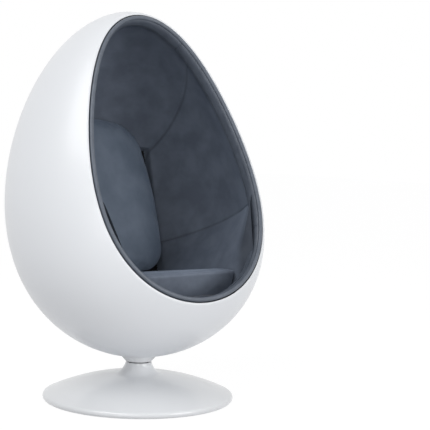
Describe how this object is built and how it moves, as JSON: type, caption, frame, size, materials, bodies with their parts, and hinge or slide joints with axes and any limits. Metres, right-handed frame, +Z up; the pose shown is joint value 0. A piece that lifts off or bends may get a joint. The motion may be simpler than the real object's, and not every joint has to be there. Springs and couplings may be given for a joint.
{
  "type": "swivel pod chair",
  "caption": "An egg-shaped shell chair with a padded lining, a seat pad and a loose back cushion, turning on a round trumpet pedestal.",
  "frame": {"origin": "on the floor, at the centre of the pedestal's felt, under the swivel axis", "axes": "+X to the chair's left-hand side as a sitter faces out of the opening (picture's right), -Y out of the opening, +Z up along the swivel axis"},
  "size_m": [0.8898, 0.801, 1.2991],
  "materials": {
    "shell_gelcoat": "white gel-coat, polished",
    "lining_suede": "dark blue-grey suede, soft nap",
    "cushion_velvet": "dark blue-grey velvet",
    "rim_leather": "dark satin leather",
    "recess_cloth": "black backing cloth, matt",
    "pedestal_paint": "white enamel, polished",
    "raw_steel": "turned steel",
    "ballast_iron": "black painted iron",
    "hub_aluminium": "white enamel on cast aluminium",
    "bush_polymer": "dark bearing polymer",
    "felt": "black pressed felt",
    "timber": "plain hardwood",
    "plywood": "birch plywood"
  },
  "bodies": {
    "base": {"floor_felt": "felt", "ballast_plate": "ballast_iron", "pedestal_shell": "pedestal_paint", "pedestal_screws": "raw_steel", "swivel_column": "raw_steel", "column_bolts": "raw_steel", "neck_spacer": "bush_polymer", "upper_bush": "bush_polymer", "lower_bush": "bush_polymer", "thrust_washer": "bush_polymer"},
    "pod": {"spindle": "raw_steel", "retaining_washer": "raw_steel", "spindle_clip": "raw_steel", "swivel_hub": "hub_aluminium", "outer_shell": "shell_gelcoat", "mounting_block": "timber", "mounting_plate": "raw_steel", "mount_washers": "raw_steel", "mount_bolts": "raw_steel", "seat_cleats": "timber", "seat_board": "plywood", "board_screws": "raw_steel", "seat_fascia": "lining_suede", "seat_pad": "lining_suede", "lower_lining_left": "lining_suede", "lower_lining_right": "lining_suede", "side_lining_left": "lining_suede", "side_lining_right": "lining_suede", "upper_lining_left": "lining_suede", "upper_lining_right": "lining_suede", "recess_backing": "recess_cloth", "rim_roll": "rim_leather", "rim_welt": "rim_leather", "back_cushion": "cushion_velvet"}
  },
  "joints": [
    {"name": "swivel", "type": "hinge", "parent": "base", "child": "pod", "pos_m": [0, 0, 0.124], "axis": [0, 0, 1], "continuous": true}
  ]
}
